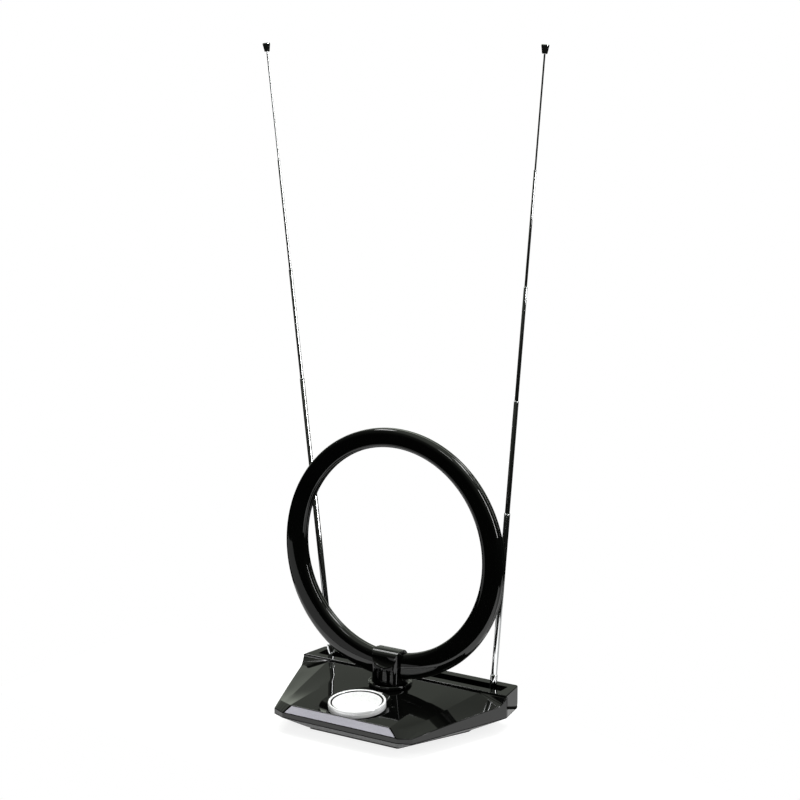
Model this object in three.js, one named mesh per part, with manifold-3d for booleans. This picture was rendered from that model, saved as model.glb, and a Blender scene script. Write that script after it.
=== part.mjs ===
// Rabbit ears antenna: a free-standing indoor television antenna.
// A faceted gloss base carries two five-section telescopic rods in a slotted trough, an upright
// eccentric loop on a turntable, and a round gain knob in a dished recess.
// Millimetres, +Z up, front towards -Y, origin on the table under the middle of the base.
import * as THREE from 'three';
import { mergeVertices } from 'three/addons/utils/BufferGeometryUtils.js';
import { ConvexGeometry } from 'three/addons/geometries/ConvexGeometry.js';
import Module from 'manifold-3d';

const wasm = await Module();
wasm.setup();

// ---------------------------------------------------------------- driving dimensions
const GAP = 0.3;                 // clearance between pieces that meet
const WALL = 2.2;                // shell thickness

const PAD_TOP = 1.5;             // anti-slip pad, table to shell
const FLOOR_TOP = 3.2;           // inner floor of the lower shell
const PART_Z = 13.0;             // parting line between the shells

const TROUGH_Y0 = 31.2;          // front wall of the trough
const TROUGH_Y1 = 56.6;          // back wall of the trough
const TROUGH_X0 = 92.2;          // half length at the front wall
const TROUGH_X1 = 88.2;          // half length at the back wall
const RIM_Z = 30.3;              // top of the trough
const SLOT_X = 84.7;             // half length of the slot
const SLOT_Y0 = 36.5;
const SLOT_Y1 = 50.9;
const TRAY_Z = 17.0;             // top of the trough's floor
const TRAY_WALL = 1.8;

const CREASE_BACK = [42.0, 31.2, 28.9];      // crease of the deck at the trough
const CREASE_FRONT = [43.9, -55.1, 23.4];    // crease of the deck at the trim strip
const STRIP_LOW = [50.4, -56.6, 16.4];       // lower end of the trim strip
const CORNER = [61.0, -52.3, 17.0];          // front corner of the side wall
const RIM_TABLE = [                          // height of the side wall's top edge along y
  [-52.3, 17.0], [-38.8, 18.45], [-13.8, 20.7], [7.5, 22.2], [22.6, 23.1], [27.6, 25.1], [31.2, 28.6],
];

const FOOT = [[42.6, -41.4], [70.2, 20.8], [68.0, 55.0]];   // outline that stands on the pad

const KNOB_Y = -31.5;            // gain knob, on the deck's centre line
const KNOB_R = 21.7;
const DISH_R = 28.5;             // dished recess around the knob
const DISH_FLOOR_R = 22.9;
const DISH_DEPTH = 2.6;
const POINTER_DEG = 212;         // direction of the finger dimple at rest

const LOOP_Y = 14.0;             // swivel axis of the loop
const LOOP_TILT = 2.2;           // degrees the loop and its saddle lean back
const TILT_Z = 33.5;             // height the lean is taken about
const LOOP_Z = 129.3;            // centre of the loop's outer circle
const LOOP_RO = 96.0;            // outer radius
const LOOP_RI = 79.0;            // radius of the opening
const LOOP_OFFSET = 2.6;         // the opening sits this much higher than the outer circle
const LOOP_DEPTH = 10.7;
const LOOP_POWER = 3.4;          // roundness of the loop's section
const LOOP_SEGS = 48;
const SADDLE_X = 11.3;           // half width of the saddle
const SADDLE_Z0 = 29.8;
const SADDLE_Z1 = 56.0;
const TABLE_R = 16.8;            // turntable under the saddle

const ROD_X = 71.2;              // rod pivots
const ROD_Z = 24.0;
const ROD_LANE = { left: 40.6, right: 46.8 };
const ROD_LEAN = { left: -6.7, right: 4.42 };     // degrees from upright, towards +X
const TUBE_R = [2.25, 1.8, 1.38, 0.99];           // outer radii of the four tubes
const TUBE_T = 0.26;                              // tube wall
const TIP_R = 0.64;
const TUBE_TOP = [142.3, 228.0, 313.0, 397.5];    // distance of each tube's mouth from the pivot
const TUBE_FOOT = [15.3, 137.3, 223.0, 308.0];       // each collar stops under the crimped mouth above
const TIP_SPAN = [392.5, 480.4];
const CAP_SPAN = [479.2, 485.8];

// ---------------------------------------------------------------- colours
const GLOSS = new THREE.Color(0x0c0d0e);
const MATT = new THREE.Color(0x17181a);
const CHROME = new THREE.Color(0xd9dcde);
const SILVER = new THREE.Color(0xd6d7da);
const TRIM = new THREE.Color(0xb9b8c2);
const BOARD = new THREE.Color(0x1f5a35);
const BRASS = new THREE.Color(0xc9a24d);
const COPPER = new THREE.Color(0xb4693a);
const STEEL = new THREE.Color(0x9a9ea2);
const RUBBER = new THREE.Color(0x101010);

// ---------------------------------------------------------------- solids
function clean(geometry) {
  const g = geometry.index ? geometry.clone() : mergeVertices(geometry);
  for (const name of Object.keys(g.attributes)) {
    if (name !== 'position') g.deleteAttribute(name);
  }
  g.clearGroups();
  const m = mergeVertices(g, 1e-4);
  const p = m.attributes.position;
  const index = [];
  let volume = 0;
  const a = new THREE.Vector3();
  const b = new THREE.Vector3();
  const c = new THREE.Vector3();
  for (let i = 0; i < m.index.count; i += 3) {
    const [i0, i1, i2] = [m.index.getX(i), m.index.getX(i + 1), m.index.getX(i + 2)];
    if (i0 === i1 || i1 === i2 || i2 === i0) continue;
    index.push(i0, i1, i2);
    a.fromBufferAttribute(p, i0);
    b.fromBufferAttribute(p, i1);
    c.fromBufferAttribute(p, i2);
    volume += a.dot(b.cross(c));
  }
  if (volume < 0) {
    for (let i = 0; i < index.length; i += 3) {
      [index[i + 1], index[i + 2]] = [index[i + 2], index[i + 1]];
    }
  }
  m.setIndex(index);
  return m;
}

function toSolid(geometry) {
  const g = clean(geometry);
  return new wasm.Manifold(new wasm.Mesh({
    numProp: 3,
    vertProperties: Float32Array.from(g.attributes.position.array),
    triVerts: Uint32Array.from(g.index.array),
  }));
}

function toGeometry(solid) {
  const mesh = solid.getMesh();
  const g = new THREE.BufferGeometry();
  const flat = new Float32Array(mesh.numVert * 3);
  for (let i = 0; i < mesh.numVert; i += 1) {
    for (let k = 0; k < 3; k += 1) flat[i * 3 + k] = mesh.vertProperties[i * mesh.numProp + k];
  }
  g.setAttribute('position', new THREE.BufferAttribute(flat, 3));
  g.setIndex(new THREE.BufferAttribute(Uint32Array.from(mesh.triVerts), 1));
  return g;
}

function combine(start, steps) {
  let s = toSolid(start);
  for (const [verb, tools] of steps) {
    for (const tool of tools) {
      const t = tool instanceof THREE.BufferGeometry ? toSolid(tool) : tool;
      s = s[verb](t);
    }
  }
  return toGeometry(s);
}

const at = (g, x = 0, y = 0, z = 0) => g.clone().translate(x, y, z);

function block(x0, x1, y0, y1, z0, z1) {
  const g = new THREE.BoxGeometry(x1 - x0, y1 - y0, z1 - z0);
  return g.translate((x0 + x1) / 2, (y0 + y1) / 2, (z0 + z1) / 2);
}

// Round bar along Z between two heights.
function bar(r, z0, z1, segs = 24, x = 0, y = 0) {
  const g = new THREE.CylinderGeometry(r, r, z1 - z0, segs);
  return g.rotateX(Math.PI / 2).translate(x, y, (z0 + z1) / 2);
}

// Round bar along Y between two stations.
function crossBar(r, y0, y1, segs = 20, x = 0, z = 0) {
  return new THREE.CylinderGeometry(r, r, y1 - y0, segs).translate(x, (y0 + y1) / 2, z);
}

// Turned piece about Z from [radius, height] pairs; the pairs close on themselves or on the axis.
function turned(pairs, segs = 32) {
  const pts = pairs.map(([r, z]) => new THREE.Vector2(r, z));
  return new THREE.LatheGeometry(pts, segs).rotateX(Math.PI / 2);
}

// Flat outline in XY pushed up from z0 to z1.
function plate(points, z0, z1) {
  const shape = new THREE.Shape(points.map(([x, y]) => new THREE.Vector2(x, y)));
  return new THREE.ExtrudeGeometry(shape, { depth: z1 - z0, bevelEnabled: false }).translate(0, 0, z0);
}

function mirrored(half) {
  return [...half, ...half.map(([x, y]) => [-x, y]).reverse()];
}

// Wire or ribbon along a smooth path.
function lead(path, outline, steps) {
  const curve = new THREE.CatmullRomCurve3(path.map((p) => new THREE.Vector3(...p)));
  const shape = new THREE.Shape(outline.map(([x, y]) => new THREE.Vector2(x, y)));
  return new THREE.ExtrudeGeometry(shape, { steps, extrudePath: curve, bevelEnabled: false });
}

function ngon(r, n) {
  return Array.from({ length: n }, (_, i) => [
    r * Math.cos((2 * Math.PI * i) / n), r * Math.sin((2 * Math.PI * i) / n)]);
}

// Solid under a grid of surface points, with upright sides down to z0.
function loft(rows, z0) {
  const nr = rows.length;
  const nc = rows[0].length;
  const g = new THREE.BoxGeometry(2, 2, 1, nc - 1, nr - 1, 1);
  const p = g.attributes.position;
  for (let k = 0; k < p.count; k += 1) {
    const i = Math.round(((p.getX(k) + 1) / 2) * (nc - 1));
    const j = Math.round(((p.getY(k) + 1) / 2) * (nr - 1));
    const [x, y, z] = rows[j][i];
    p.setXYZ(k, x, y, p.getZ(k) > 0 ? z : z0);
  }
  return g;
}

const mix = (a, b, t) => a.map((v, i) => v + (b[i] - v) * t);

function table(rows, y) {
  for (let i = 1; i < rows.length; i += 1) {
    if (y <= rows[i][0]) {
      const t = (y - rows[i - 1][0]) / (rows[i][0] - rows[i - 1][0]);
      return rows[i - 1][1] + t * (rows[i][1] - rows[i - 1][1]);
    }
  }
  return rows[rows.length - 1][1];
}

// ---------------------------------------------------------------- the deck's facets
const DECK_SLOPE = (CREASE_BACK[2] - CREASE_FRONT[2]) / (CREASE_BACK[1] - CREASE_FRONT[1]);
const deckZ = (y) => CREASE_BACK[2] - (CREASE_BACK[1] - y) * DECK_SLOPE;
const deckTilt = Math.atan(DECK_SLOPE);
const creaseX = (y) => CREASE_BACK[0]
  + ((CREASE_BACK[1] - y) * (CREASE_FRONT[0] - CREASE_BACK[0])) / (CREASE_BACK[1] - CREASE_FRONT[1]);
const sideX = (y) => CORNER[0]
  + ((y - CORNER[1]) * (TROUGH_X0 - CORNER[0])) / (TROUGH_Y0 - CORNER[1]);

// Rows of surface points from front to back. side, front and drop shrink it to make the inside.
function deckRows(side, front, drop, yEnd) {
  const right = [];
  const rim = (y) => [sideX(y) - side, y, table(RIM_TABLE, y) - drop];
  const crease = (y) => [creaseX(y) - side * 0.3, y, deckZ(y) - drop];
  const spread = (a, b) => [0, 0.25, 0.5, 0.75, 1].map((t) => mix(a, b, t));
  right.push(spread(
    [STRIP_LOW[0] - side * 1.2, STRIP_LOW[1] + front, STRIP_LOW[2] - drop],
    [CORNER[0] - side * 1.2, CORNER[1] + front * 0.8, CORNER[2] - drop]));
  right.push(spread(
    [CREASE_FRONT[0] - side * 0.6, CREASE_FRONT[1] + front, CREASE_FRONT[2] - drop], rim(-38.8)));
  for (const [yc, yr] of [[-40, -27], [-24, -13.8], [-8, -2], [7, 7.5], [19, 16]]) {
    right.push(spread(crease(yc), rim(yr)));
  }
  for (const [lift, y] of [[0.6, 22.6], [0.3, 27.6], [0, 31.2]]) {
    const a = [creaseX(31.2) - side * 0.3, 31.2 - lift, deckZ(31.2) - drop - 0.02];
    const c = [68.4 - side * 0.5, 31.2 - lift, 28.75 - drop];
    const e = rim(y);
    right.push([a, mix(a, c, 0.5), c, mix(c, e, 0.5), e]);
  }
  right.push(right[right.length - 1].map(([x, , z]) => [x, yEnd, z]));
  return right.map((r) => [
    ...r.map(([x, y, z]) => [-x, y, z]).reverse(), [0, r[0][1], r[0][2]], ...r]);
}

// Local frame on the deck with its Z along the deck's normal.
function deckGroup(y) {
  const g = new THREE.Group();
  g.position.set(0, y, deckZ(y));
  g.rotation.x = deckTilt;
  return g;
}

function onDeck(geometry, y) {
  return geometry.clone().rotateX(deckTilt).translate(0, y, deckZ(y));
}

// ---------------------------------------------------------------- group and mesh helpers
const antenna = new THREE.Group();

function piece(name, geometry, color, roughness, metalness, parent = antenna) {
  const material = new THREE.MeshStandardMaterial({ color, roughness, metalness });
  const mesh = new THREE.Mesh(clean(geometry), material);
  mesh.name = name;
  parent.add(mesh);
  return mesh;
}

// ---------------------------------------------------------------- base: upper shell
const troughOutline = mirrored([
  [TROUGH_X0, TROUGH_Y0], [TROUGH_X1 + 0.2, TROUGH_Y1 - 1.4], [TROUGH_X1 - 0.4, TROUGH_Y1 - 0.4],
  [TROUGH_X1 - 1.4, TROUGH_Y1],
]);
const outerDeck = loft(deckRows(0, 0, 0, TROUGH_Y0 + 0.5), PART_Z);
const troughBlock = plate(troughOutline, PART_Z, RIM_Z);
const hollowDeck = loft(deckRows(WALL, 3.6, WALL, SLOT_Y0 - TRAY_WALL), PART_Z - 1);
const underTray = block(-SLOT_X, SLOT_X, 31, TROUGH_Y1 - WALL, PART_Z - 1, TRAY_Z - TRAY_WALL);
const backPocket = block(-82, 82, SLOT_Y1 + TRAY_WALL, TROUGH_Y1 - WALL, PART_Z - 1, RIM_Z - WALL);
const slot = block(-SLOT_X, SLOT_X, SLOT_Y0, SLOT_Y1, TRAY_Z, RIM_Z + 5);

const dishBoss = combine(onDeck(bar(30, -5.2, -0.6, 48), KNOB_Y), [
  ['intersect', [outerDeck]],
]);
const dishTool = combine(onDeck(turned([
  [0, -DISH_DEPTH], [DISH_FLOOR_R, -DISH_DEPTH], [DISH_R, 0], [DISH_R + 0.2, 4], [0, 4]], 48), KNOB_Y), [
  ['intersect', [block(-60, 60, CREASE_FRONT[1] + 0.8, 40, 0, 60)]],
]);
const knobHole = onDeck(bar(5.4, -12, 4, 24), KNOB_Y);

const tableBoss = bar(19, 22.6, 27.6, 32, 0, LOOP_Y);
const tablePocket = bar(TABLE_R + GAP, 27.0, 34, 40, 0, LOOP_Y);
const tableHole = bar(5.4, 18, 34, 24, 0, LOOP_Y);

const SCREWS = [[-34, -34], [34, -34], [-60, 22], [60, 22]];
const bossLimit = loft(deckRows(1, 2, 1, TROUGH_Y0), 0);
const screwBosses = SCREWS.map(([x, y]) => combine(bar(3.6, 7.1, 40, 16, x, y), [
  ['intersect', [bossLimit]]]));
const screwHoles = SCREWS.map(([x, y]) => bar(1.6, 5, 17, 12, x, y));
const boardPosts = [[-10.5, 6], [10.5, -6]].map(([x, y]) => combine(
  bar(2.4, -15.6, -4.0, 12, x, y), [['add', [bar(1.1, -18.0, -15.4, 12, x, y)]]]));
const trayHoles = [['left', -1], ['right', 1]].map(([s, sx]) => bar(
  1.4, 10, 22, 12, sx * ROD_X, ROD_LANE[s]));

const TRIM_TILT = Math.atan2(CREASE_FRONT[1] - STRIP_LOW[1], CREASE_FRONT[2] - STRIP_LOW[2]);
const TRIM_H = Math.hypot(CREASE_FRONT[1] - STRIP_LOW[1], CREASE_FRONT[2] - STRIP_LOW[2]);

// Trapezoid of the trim strip, standing on the front bevel; depth runs into the shell.
function trimPlate(inset, depth, proud) {
  const run = (STRIP_LOW[0] - CREASE_FRONT[0]) / TRIM_H;
  const half = [
    [STRIP_LOW[0] - inset * 1.6 - run * inset, inset], [CREASE_FRONT[0] - inset * 1.6, TRIM_H - inset]];
  const g = plate(mirrored(half), -depth, proud);
  g.rotateX(Math.PI / 2);
  g.rotateX(-TRIM_TILT);
  return g.translate(0, STRIP_LOW[1], STRIP_LOW[2]);
}

const topShell = combine(outerDeck, [
  ['add', [troughBlock]],
  ['subtract', [hollowDeck, underTray, backPocket]],
  ['add', [dishBoss, tableBoss, ...screwBosses, ...boardPosts.map((g) => onDeck(g, KNOB_Y))]],
  ['subtract', [slot, dishTool, knobHole, tablePocket, tableHole, ...screwHoles, ...trayHoles]],
  ['subtract', [trimPlate(0.35, 1.5, 1)]],
]);
piece('base_top_shell', topShell, GLOSS, 0.08, 0);

piece('front_trim_strip', trimPlate(0.65, 1.2, 0), TRIM, 0.35, 0.3);

// ---------------------------------------------------------------- base: lower shell and pad
const hull = (list) => new ConvexGeometry(list.map((p) => new THREE.Vector3(...p)));
const BELT = [
  [STRIP_LOW[0], STRIP_LOW[1]], [CORNER[0], CORNER[1]], [TROUGH_X0, TROUGH_Y0],
  [TROUGH_X1 + 0.2, TROUGH_Y1 - 1.4], [TROUGH_X1 - 0.4, TROUGH_Y1 - 0.4], [TROUGH_X1 - 1.4, TROUGH_Y1]];
const FOOT_ROUND = [
  [FOOT[0][0] - 4, FOOT[0][1]], [FOOT[0][0] + 1.0, FOOT[0][1] + 3.4], FOOT[1], [FOOT[1][0] - 0.3, 34],
  [FOOT[2][0], FOOT[2][1] - 4], [FOOT[2][0] - 3, FOOT[2][1]]];
const ring3 = (list, z) => mirrored(list).map(([x, y]) => [x, y, z]);
const lowerOuter = hull([...ring3(BELT, PART_Z - GAP), ...ring3(FOOT_ROUND, PAD_TOP)]);
const shrink = (list, dx, dyf, dyb) => list.map(([x, y]) => [x - dx, y < 0 ? y + dyf : y - dyb]);
const lowerInner = hull([
  ...ring3(shrink(BELT, WALL + 0.6, WALL + 0.6, WALL), PART_Z + 1),
  ...ring3(shrink(FOOT_ROUND, WALL + 2.6, WALL + 2.4, WALL), FLOOR_TOP)]);

const SOCKET_Z = 7.8;
const COAX_X = 25;
const POWER_X = -24;
const STANDOFFS = [[-34, -4], [34, -4], [-34, 43], [34, 43]];
const standoffs = STANDOFFS.map(([x, y]) => combine(bar(2.6, 3.0, 6.7, 12, x, y), [
  ['add', [bar(1.1, 6.5, 9.6, 12, x, y)]]]));
const bottomShell = combine(lowerOuter, [
  ['subtract', [lowerInner]],
  ['add', [...SCREWS.map(([x, y]) => bar(5.6, 3.0, 6.7, 20, x, y)), ...standoffs]],
  ['subtract', [
    ...SCREWS.map(([x, y]) => bar(3.2, 0, 4.5, 16, x, y)),
    ...SCREWS.map(([x, y]) => bar(1.7, 0, 9, 12, x, y)),
    crossBar(4.7, 50, 62, 24, COAX_X, SOCKET_Z),
    block(POWER_X - 5.2, POWER_X + 5.2, 50, 62, SOCKET_Z - 3.9, SOCKET_Z + 3.9),
  ]],
]);
piece('base_bottom_shell', bottomShell, GLOSS, 0.12, 0);

const padOutline = mirrored([
  [FOOT[0][0] - 4.6, FOOT[0][1] + 1.2], [FOOT[0][0] - 0.4, FOOT[0][1] + 4], [FOOT[1][0] - 1.6, FOOT[1][1]],
  [FOOT[2][0] - 1.4, FOOT[2][1] - 4.4], [FOOT[2][0] - 4, FOOT[2][1] - 1.4]]);
piece('anti_slip_pad', plate(padOutline, 0, PAD_TOP - GAP), RUBBER, 0.9, 0);

SCREWS.forEach(([x, y], i) => {
  const screw = turned([
    [0, 1.9], [2.8, 1.9], [2.8, 3.6], [1.25, 4.2], [1.25, 15.5], [0, 16.4]], 12);
  const drive = combine(at(screw, x, y, 0), [
    ['subtract', [block(x - 1.9, x + 1.9, y - 0.35, y + 0.35, 1, 2.7),
      block(x - 0.35, x + 0.35, y - 1.9, y + 1.9, 1, 2.7)]]]);
  piece(`cover_screw_${i + 1}`, drive, STEEL, 0.35, 1);
});

piece('ballast_plate', plate(mirrored([[24, -9], [29, -4], [29, 40], [25, 44]]), 3.5, 6.4), STEEL, 0.5, 1);

// ---------------------------------------------------------------- electronics
const boardHoles = STANDOFFS.map(([x, y]) => bar(1.5, 6, 10, 12, x, y));
piece('amplifier_board', combine(block(-38, 38, -8, 47.2, 7.0, 8.6), [['subtract', boardHoles]]),
  BOARD, 0.5, 0);
piece('shield_can', combine(block(7, 33, 2, 30, 8.9, 13.4), [
  ['subtract', [block(7.6, 32.4, 2.6, 29.4, 8, 12.8)]]]), STEEL, 0.3, 1);

const coaxBody = combine(block(COAX_X - 6, COAX_X + 6, 47.5, 52.6, 3.6, 12.2), [
  ['add', [crossBar(4.35, 52.0, 61.5, 24, COAX_X, SOCKET_Z)]],
  ['subtract', [crossBar(3.2, 49.5, 64, 24, COAX_X, SOCKET_Z)]],
]);
piece('coax_socket', coaxBody, CHROME, 0.25, 1);
piece('coax_centre_contact', crossBar(0.7, 49.8, 60.0, 12, COAX_X, SOCKET_Z), BRASS, 0.3, 1);
const powerBody = combine(
  block(POWER_X - 4.9, POWER_X + 4.9, 47.5, 55.6, SOCKET_Z - 3.6, SOCKET_Z + 3.6), [
    ['subtract', [crossBar(2.8, 49.5, 60, 20, POWER_X, SOCKET_Z)]],
  ]);
piece('power_socket', powerBody, MATT, 0.6, 0);
piece('power_contact', crossBar(0.9, 49.8, 54.8, 12, POWER_X, SOCKET_Z), BRASS, 0.3, 1);

// ---------------------------------------------------------------- gain control
const gain = deckGroup(KNOB_Y);
antenna.add(gain);
const gainBoard = combine(block(-14, 14, -9, 9, -17.3, -15.9), [
  ['subtract', [bar(1.5, -24, -15, 12, -10.5, 6), bar(1.5, -24, -15, 12, 10.5, -6)]]]);
piece('gain_board', gainBoard, BOARD, 0.5, 0, gain);
piece('potentiometer_body', turned([
  [0, -14.4], [3.2, -14.4], [3.2, -9.6], [4.3, -9.6], [4.3, -11.4], [7.6, -11.4], [7.6, -15.6], [0, -15.6],
], 24), STEEL, 0.4, 0.8, gain);
piece('potentiometer_shaft', bar(2.8, -14.1, -1.9, 16), STEEL, 0.3, 1, gain);

const knobProfile = [
  [0, 1.2], [19.5, 1.2], [19.5, 2.6], [20.5, 3.6], [21.3, 3.4], [KNOB_R, 2.5],
  [KNOB_R, -2.2], [20.0, -2.2], [19.8, -0.4], [4.9, -0.4], [4.9, -9.0],
  [3.1, -9.0], [3.1, -1.5], [0, -1.5]];
piece('knob_body', turned(knobProfile, 40), SILVER, 0.22, 0.9, gain);
const dimpleAngle = THREE.MathUtils.degToRad(POINTER_DEG);
const dimple = new THREE.SphereGeometry(1, 16, 10).scale(6.4, 3.9, 1.7);
dimple.rotateZ(dimpleAngle);
dimple.translate(12.4 * Math.cos(dimpleAngle), 12.4 * Math.sin(dimpleAngle), 3.6);
piece('knob_face', combine(bar(19.15, 1.5, 2.5, 40), [['subtract', [dimple]]]), SILVER, 0.3, 0.9, gain);

const ribbonPath = [[-8, -20.9, 8.6], [-8, -17, 9.6], [-8, -12.5, 9.4], [-8, -8.5, 8.0]];
piece('gain_ribbon', lead(ribbonPath, [[-0.3, -3], [0.3, -3], [0.3, 3], [-0.3, 3]], 8), MATT, 0.6, 0);

// ---------------------------------------------------------------- loop on its turntable
// Distance from the outer circle's centre to the opening's edge, in the direction whose sine is s.
const innerEdge = (s) => LOOP_OFFSET * s
  + Math.sqrt(LOOP_RI * LOOP_RI - LOOP_OFFSET * LOOP_OFFSET * (1 - s * s));
const MID = (LOOP_RO + LOOP_RI) / 2;
const HALF = (LOOP_RO - LOOP_RI) / 2;

// Section points as [across, along Y], across in -1..1 of the local half width.
function section(from, to, n, shrinkBy) {
  const out = [];
  for (let i = 0; i <= n; i += 1) {
    const a = from + ((to - from) * i) / n;
    const c = Math.cos(a);
    const s = Math.sin(a);
    const across = Math.sign(c) * Math.abs(c) ** (2 / LOOP_POWER);
    const along = Math.sign(s) * Math.abs(s) ** (2 / LOOP_POWER);
    out.push([across * (1 - shrinkBy / HALF), along * (LOOP_DEPTH / 2 - shrinkBy)]);
  }
  return out;
}

// Leans a piece of the upright loop back about a line across its foot.
function lean(g) {
  const a = THREE.MathUtils.degToRad(LOOP_TILT);
  return g.translate(0, -LOOP_Y, -TILT_Z).rotateX(-a).translate(0, LOOP_Y, TILT_Z);
}

// Turned about the loop's own axis, then squeezed so that the opening sits off centre.
function loopSolid(points, segs = LOOP_SEGS) {
  const pts = points.map(([c, y]) => new THREE.Vector2(MID + c * HALF, y));
  const g = new THREE.LatheGeometry(pts, segs);
  const p = g.attributes.position;
  for (let i = 0; i < p.count; i += 1) {
    const x = p.getX(i);
    const z = p.getZ(i);
    const r = Math.hypot(x, z);
    const inner = innerEdge(z / r);
    const half = (LOOP_RO - inner) / 2;
    const want = (LOOP_RO + inner) / 2 + ((r - MID) / HALF) * half;
    p.setX(i, (x * want) / r);
    p.setZ(i, (z * want) / r);
  }
  return g.translate(0, LOOP_Y, LOOP_Z);
}

function loopShell(sign) {
  const outer = section(0, sign * Math.PI, 8, 0);
  const inner = section(sign * Math.PI, 0, 5, 1.6);
  const seam = sign * (GAP / 2);
  const pts = [...outer, ...inner].map(([c, y]) => [c, sign * y < GAP / 2 ? seam : y]);
  pts.push(pts[0]);
  return combine(loopSolid(pts), [['subtract', [bar(2.7, 25, 40, 16, 0, LOOP_Y)]]]);
}

piece('loop_front_shell', lean(loopShell(-1)), GLOSS, 0.08, 0);
piece('loop_rear_shell', lean(loopShell(1)), GLOSS, 0.1, 0);

// Open metal ring inside the shells, its gap at the bottom.
function conductor() {
  const shape = new THREE.Shape();
  const gap = THREE.MathUtils.degToRad(3);
  shape.absarc(0, 0, 89.2, -Math.PI / 2 + gap, (3 * Math.PI) / 2 - gap, false);
  shape.absarc(0, 0, 86.2, (3 * Math.PI) / 2 - gap, -Math.PI / 2 + gap, true);
  const g = new THREE.ExtrudeGeometry(shape, { depth: 2, bevelEnabled: false, curveSegments: 48 });
  return g.rotateX(Math.PI / 2).translate(0, LOOP_Y + 1, LOOP_Z);
}
piece('loop_conductor', lean(conductor()), COPPER, 0.4, 1);

const envelope = loopSolid([
  ...section(0, 2 * Math.PI, 24, -GAP)].map(([c, y]) => [c, y]));
const frontSide = [
  [-0.15, SADDLE_Z0], [-10.6, SADDLE_Z0], [-10.4, 33.0], [-10.3, 49.4], [-9.9, 51.4], [-8.9, 53.3],
  [-7.3, 54.9], [-5.2, 55.8], [-3.0, SADDLE_Z1], [-0.15, SADDLE_Z1]];
const rearSide = [
  [0.15, SADDLE_Z0], [8.0, SADDLE_Z0], [7.4, 32.0], [7.15, 35.5], [7.15, 50.0], [6.6, 52.6],
  [5.2, 54.6], [3.0, 55.7], [0.15, SADDLE_Z1]];

// Side view in YZ pushed across X.
function sideProfile(points, half) {
  const g = plate(points, -half, half);
  g.rotateX(Math.PI / 2).rotateZ(Math.PI / 2);
  return g;
}
const saddleScrews = [-8, 8];
// Plan of the front half, its two upright edges rounded.
const saddlePlan = [[SADDLE_X, 1], [-SADDLE_X, 1]];
for (let i = 0; i <= 6; i += 1) {
  const a = (i * Math.PI) / 12;
  saddlePlan.push([-SADDLE_X + 4 - 4 * Math.cos(a), -6.6 - 4 * Math.sin(a)]);
}
for (let i = 6; i >= 0; i -= 1) {
  const a = (i * Math.PI) / 12;
  saddlePlan.push([SADDLE_X - 4 + 4 * Math.cos(a), -6.6 - 4 * Math.sin(a)]);
}
const saddleFrontBlock = combine(at(sideProfile(frontSide, SADDLE_X), 0, LOOP_Y, 0), [
  ['intersect', [at(plate(saddlePlan, SADDLE_Z0 - 1, SADDLE_Z1 + 1), 0, LOOP_Y, 0)]]]);
const scoop = combine(new THREE.SphereGeometry(1, 32, 24).scale(11.6, 3.6, 9.3).translate(0, LOOP_Y - 10.3, 51.6), [
  ['intersect', [block(-20, 20, LOOP_Y - 20, LOOP_Y, 42, 51.6)]]]);
const panel = block(-6.6, 6.6, LOOP_Y - 14, LOOP_Y - 7.3, SADDLE_Z0 + 1.2, 41.6);
const column = combine(bar(5.7, SADDLE_Z0 + 0.7, 42.4, 28, 0, LOOP_Y - 4.9), [
  ['intersect', [block(-7, 7, LOOP_Y - 12, LOOP_Y - 7.0, SADDLE_Z0, 43)]]]);

piece('loop_saddle_front', lean(combine(saddleFrontBlock, [
  ['subtract', [panel]],
  ['add', [column]],
  ['subtract', [scoop]],
  ['subtract', [envelope, bar(2.7, 25, 40, 16, 0, LOOP_Y),
    ...saddleScrews.map((x) => crossBar(1.0, LOOP_Y - 5, LOOP_Y + 2, 12, x, 31.4))]],
])), GLOSS, 0.1, 0);
const saddleRearBlock = at(sideProfile(rearSide, SADDLE_X), 0, LOOP_Y, 0);
piece('loop_saddle_rear', lean(combine(saddleRearBlock, [
  ['subtract', [envelope, bar(2.7, 25, 40, 16, 0, LOOP_Y),
    ...saddleScrews.map((x) => crossBar(1.2, LOOP_Y - 2, LOOP_Y + 12, 12, x, 31.4)),
    ...saddleScrews.map((x) => crossBar(1.75, LOOP_Y + 6.2, LOOP_Y + 12, 16, x, 31.4))]],
])), GLOSS, 0.1, 0);
saddleScrews.forEach((x, i) => {
  const screw = turned([[0, 0], [1.45, 0], [1.45, 1.0], [0.7, 1.4], [0.7, 10.2], [0, 10.8]], 12);
  screw.rotateX(Math.PI / 2).translate(x, LOOP_Y + 7.8, 31.4);
  piece(`saddle_screw_${i + 1}`, lean(screw), STEEL, 0.35, 1);
});

const tableProfile = [
  [3.1, 29.2], [14.1, 29.2], [14.9, 30.1], [16.0, 30.6], [TABLE_R - 0.2, 30.2], [TABLE_R, 29.4],
  [TABLE_R - 0.2, 28.3], [15.8, 27.6], [14.2, 27.3],
  [5.0, 27.3], [5.0, 22.4], [4.3, 22.3], [4.3, 21.0], [5.0, 20.9], [4.7, 19.8], [3.1, 19.8], [3.1, 29.2]];
piece('loop_turntable', at(turned(tableProfile, 28), 0, LOOP_Y, 0), GLOSS, 0.12, 0);
piece('turntable_clip', at(turned([
  [4.6, 21.3], [8.4, 21.3], [8.4, 22.1], [4.6, 22.1], [4.6, 21.3]], 20), 0, LOOP_Y, 0), STEEL, 0.3, 1);
piece('loop_lead', lead([
  [0, LOOP_Y, 32], [0, LOOP_Y, 26], [0, LOOP_Y, 20], [-1, LOOP_Y - 0.5, 16], [-5, LOOP_Y - 2, 11.6],
  [-9, LOOP_Y - 3, 9.4]], ngon(1.0, 8), 18), MATT, 0.6, 0);

// ---------------------------------------------------------------- rods
const ROD_SEGS = 12;

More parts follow.
